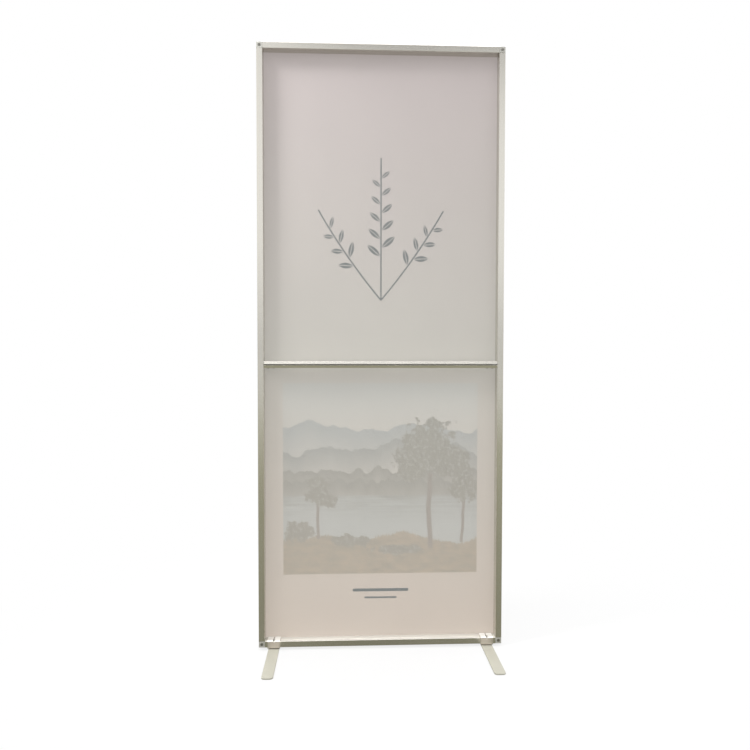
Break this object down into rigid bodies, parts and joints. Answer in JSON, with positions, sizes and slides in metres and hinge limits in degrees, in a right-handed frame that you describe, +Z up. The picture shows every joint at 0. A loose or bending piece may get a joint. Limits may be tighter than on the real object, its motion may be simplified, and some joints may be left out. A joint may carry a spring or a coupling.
{
  "type": "fabric frame banner stand",
  "caption": "Tall hollow-rail aluminium frame with a stretched fabric print on its front, a crossbar behind it, and flat feet that swivel under bent clamps.",
  "frame": {"origin": "on the floor, midway between the feet and in the middle of the feet's length", "axes": "+Z up, +X to the right of someone behind the stand, +Y through the frame to its printed front"},
  "size_m": [0.82, 0.45, 2.0094],
  "materials": {
    "anodised_aluminium": "satin anodised",
    "cast_block": "fine cast",
    "mill_aluminium": "mill",
    "zinc_steel": "bright zinc plated",
    "clamp_steel": "dull zinc plated",
    "painted_steel": "light grey powder coat",
    "nylon": "smooth",
    "silicone": "matte",
    "polyester": "fine knit, printed"
  },
  "bodies": {
    "frame": {"bottom_rail": "anodised_aluminium", "top_rail": "anodised_aluminium", "left_stile": "anodised_aluminium", "right_stile": "anodised_aluminium", "crossbar": "anodised_aluminium", "corner_block_bottom_left": "cast_block", "corner_block_bottom_right": "cast_block", "corner_block_top_left": "cast_block", "corner_block_top_right": "cast_block", "rail_joiner_bottom_left": "mill_aluminium", "rail_joiner_bottom_right": "mill_aluminium", "rail_joiner_top_left": "mill_aluminium", "rail_joiner_top_right": "mill_aluminium", "stile_joiner_bottom_left": "mill_aluminium", "stile_joiner_bottom_right": "mill_aluminium", "stile_joiner_top_left": "mill_aluminium", "stile_joiner_top_right": "mill_aluminium", "corner_screw_bottom_left": "zinc_steel", "corner_screw_bottom_right": "zinc_steel", "corner_screw_top_left": "zinc_steel", "corner_screw_top_right": "zinc_steel", "rail_lock_screw_top_left": "zinc_steel", "rail_lock_screw_top_right": "zinc_steel", "stile_lock_screw_bottom_left": "zinc_steel", "stile_lock_screw_bottom_right": "zinc_steel", "stile_lock_screw_top_left": "zinc_steel", "stile_lock_screw_top_right": "zinc_steel", "crossbar_angle_left": "zinc_steel", "crossbar_angle_right": "zinc_steel", "crossbar_screw_left_1": "zinc_steel", "crossbar_screw_left_2": "zinc_steel", "crossbar_screw_right_1": "zinc_steel", "crossbar_screw_right_2": "zinc_steel", "stile_screw_left_1": "zinc_steel", "stile_screw_left_2": "zinc_steel", "stile_screw_right_1": "zinc_steel", "stile_screw_right_2": "zinc_steel", "fabric_panel": "polyester", "silicone_edge_left": "silicone", "silicone_edge_top": "silicone", "silicone_edge_right": "silicone", "silicone_edge_bottom": "silicone", "foot_clamp_left": "clamp_steel", "foot_clamp_right": "clamp_steel", "clamp_screw_left": "zinc_steel", "clamp_screw_right": "zinc_steel"},
    "foot_left": {"foot_plate_left": "painted_steel", "foot_washer_left": "nylon", "pivot_screw_left": "zinc_steel"},
    "foot_right": {"foot_plate_right": "painted_steel", "foot_washer_right": "nylon", "pivot_screw_right": "zinc_steel"}
  },
  "joints": [
    {"name": "foot_left_swivel", "type": "hinge", "parent": "frame", "child": "foot_left", "pos_m": [-0.36, 0, 0], "axis": [0, 0, 1], "range_deg": [-90, 90]},
    {"name": "foot_right_swivel", "type": "hinge", "parent": "frame", "child": "foot_right", "pos_m": [0.36, 0, 0], "axis": [0, 0, 1], "range_deg": [-90, 90]}
  ]
}
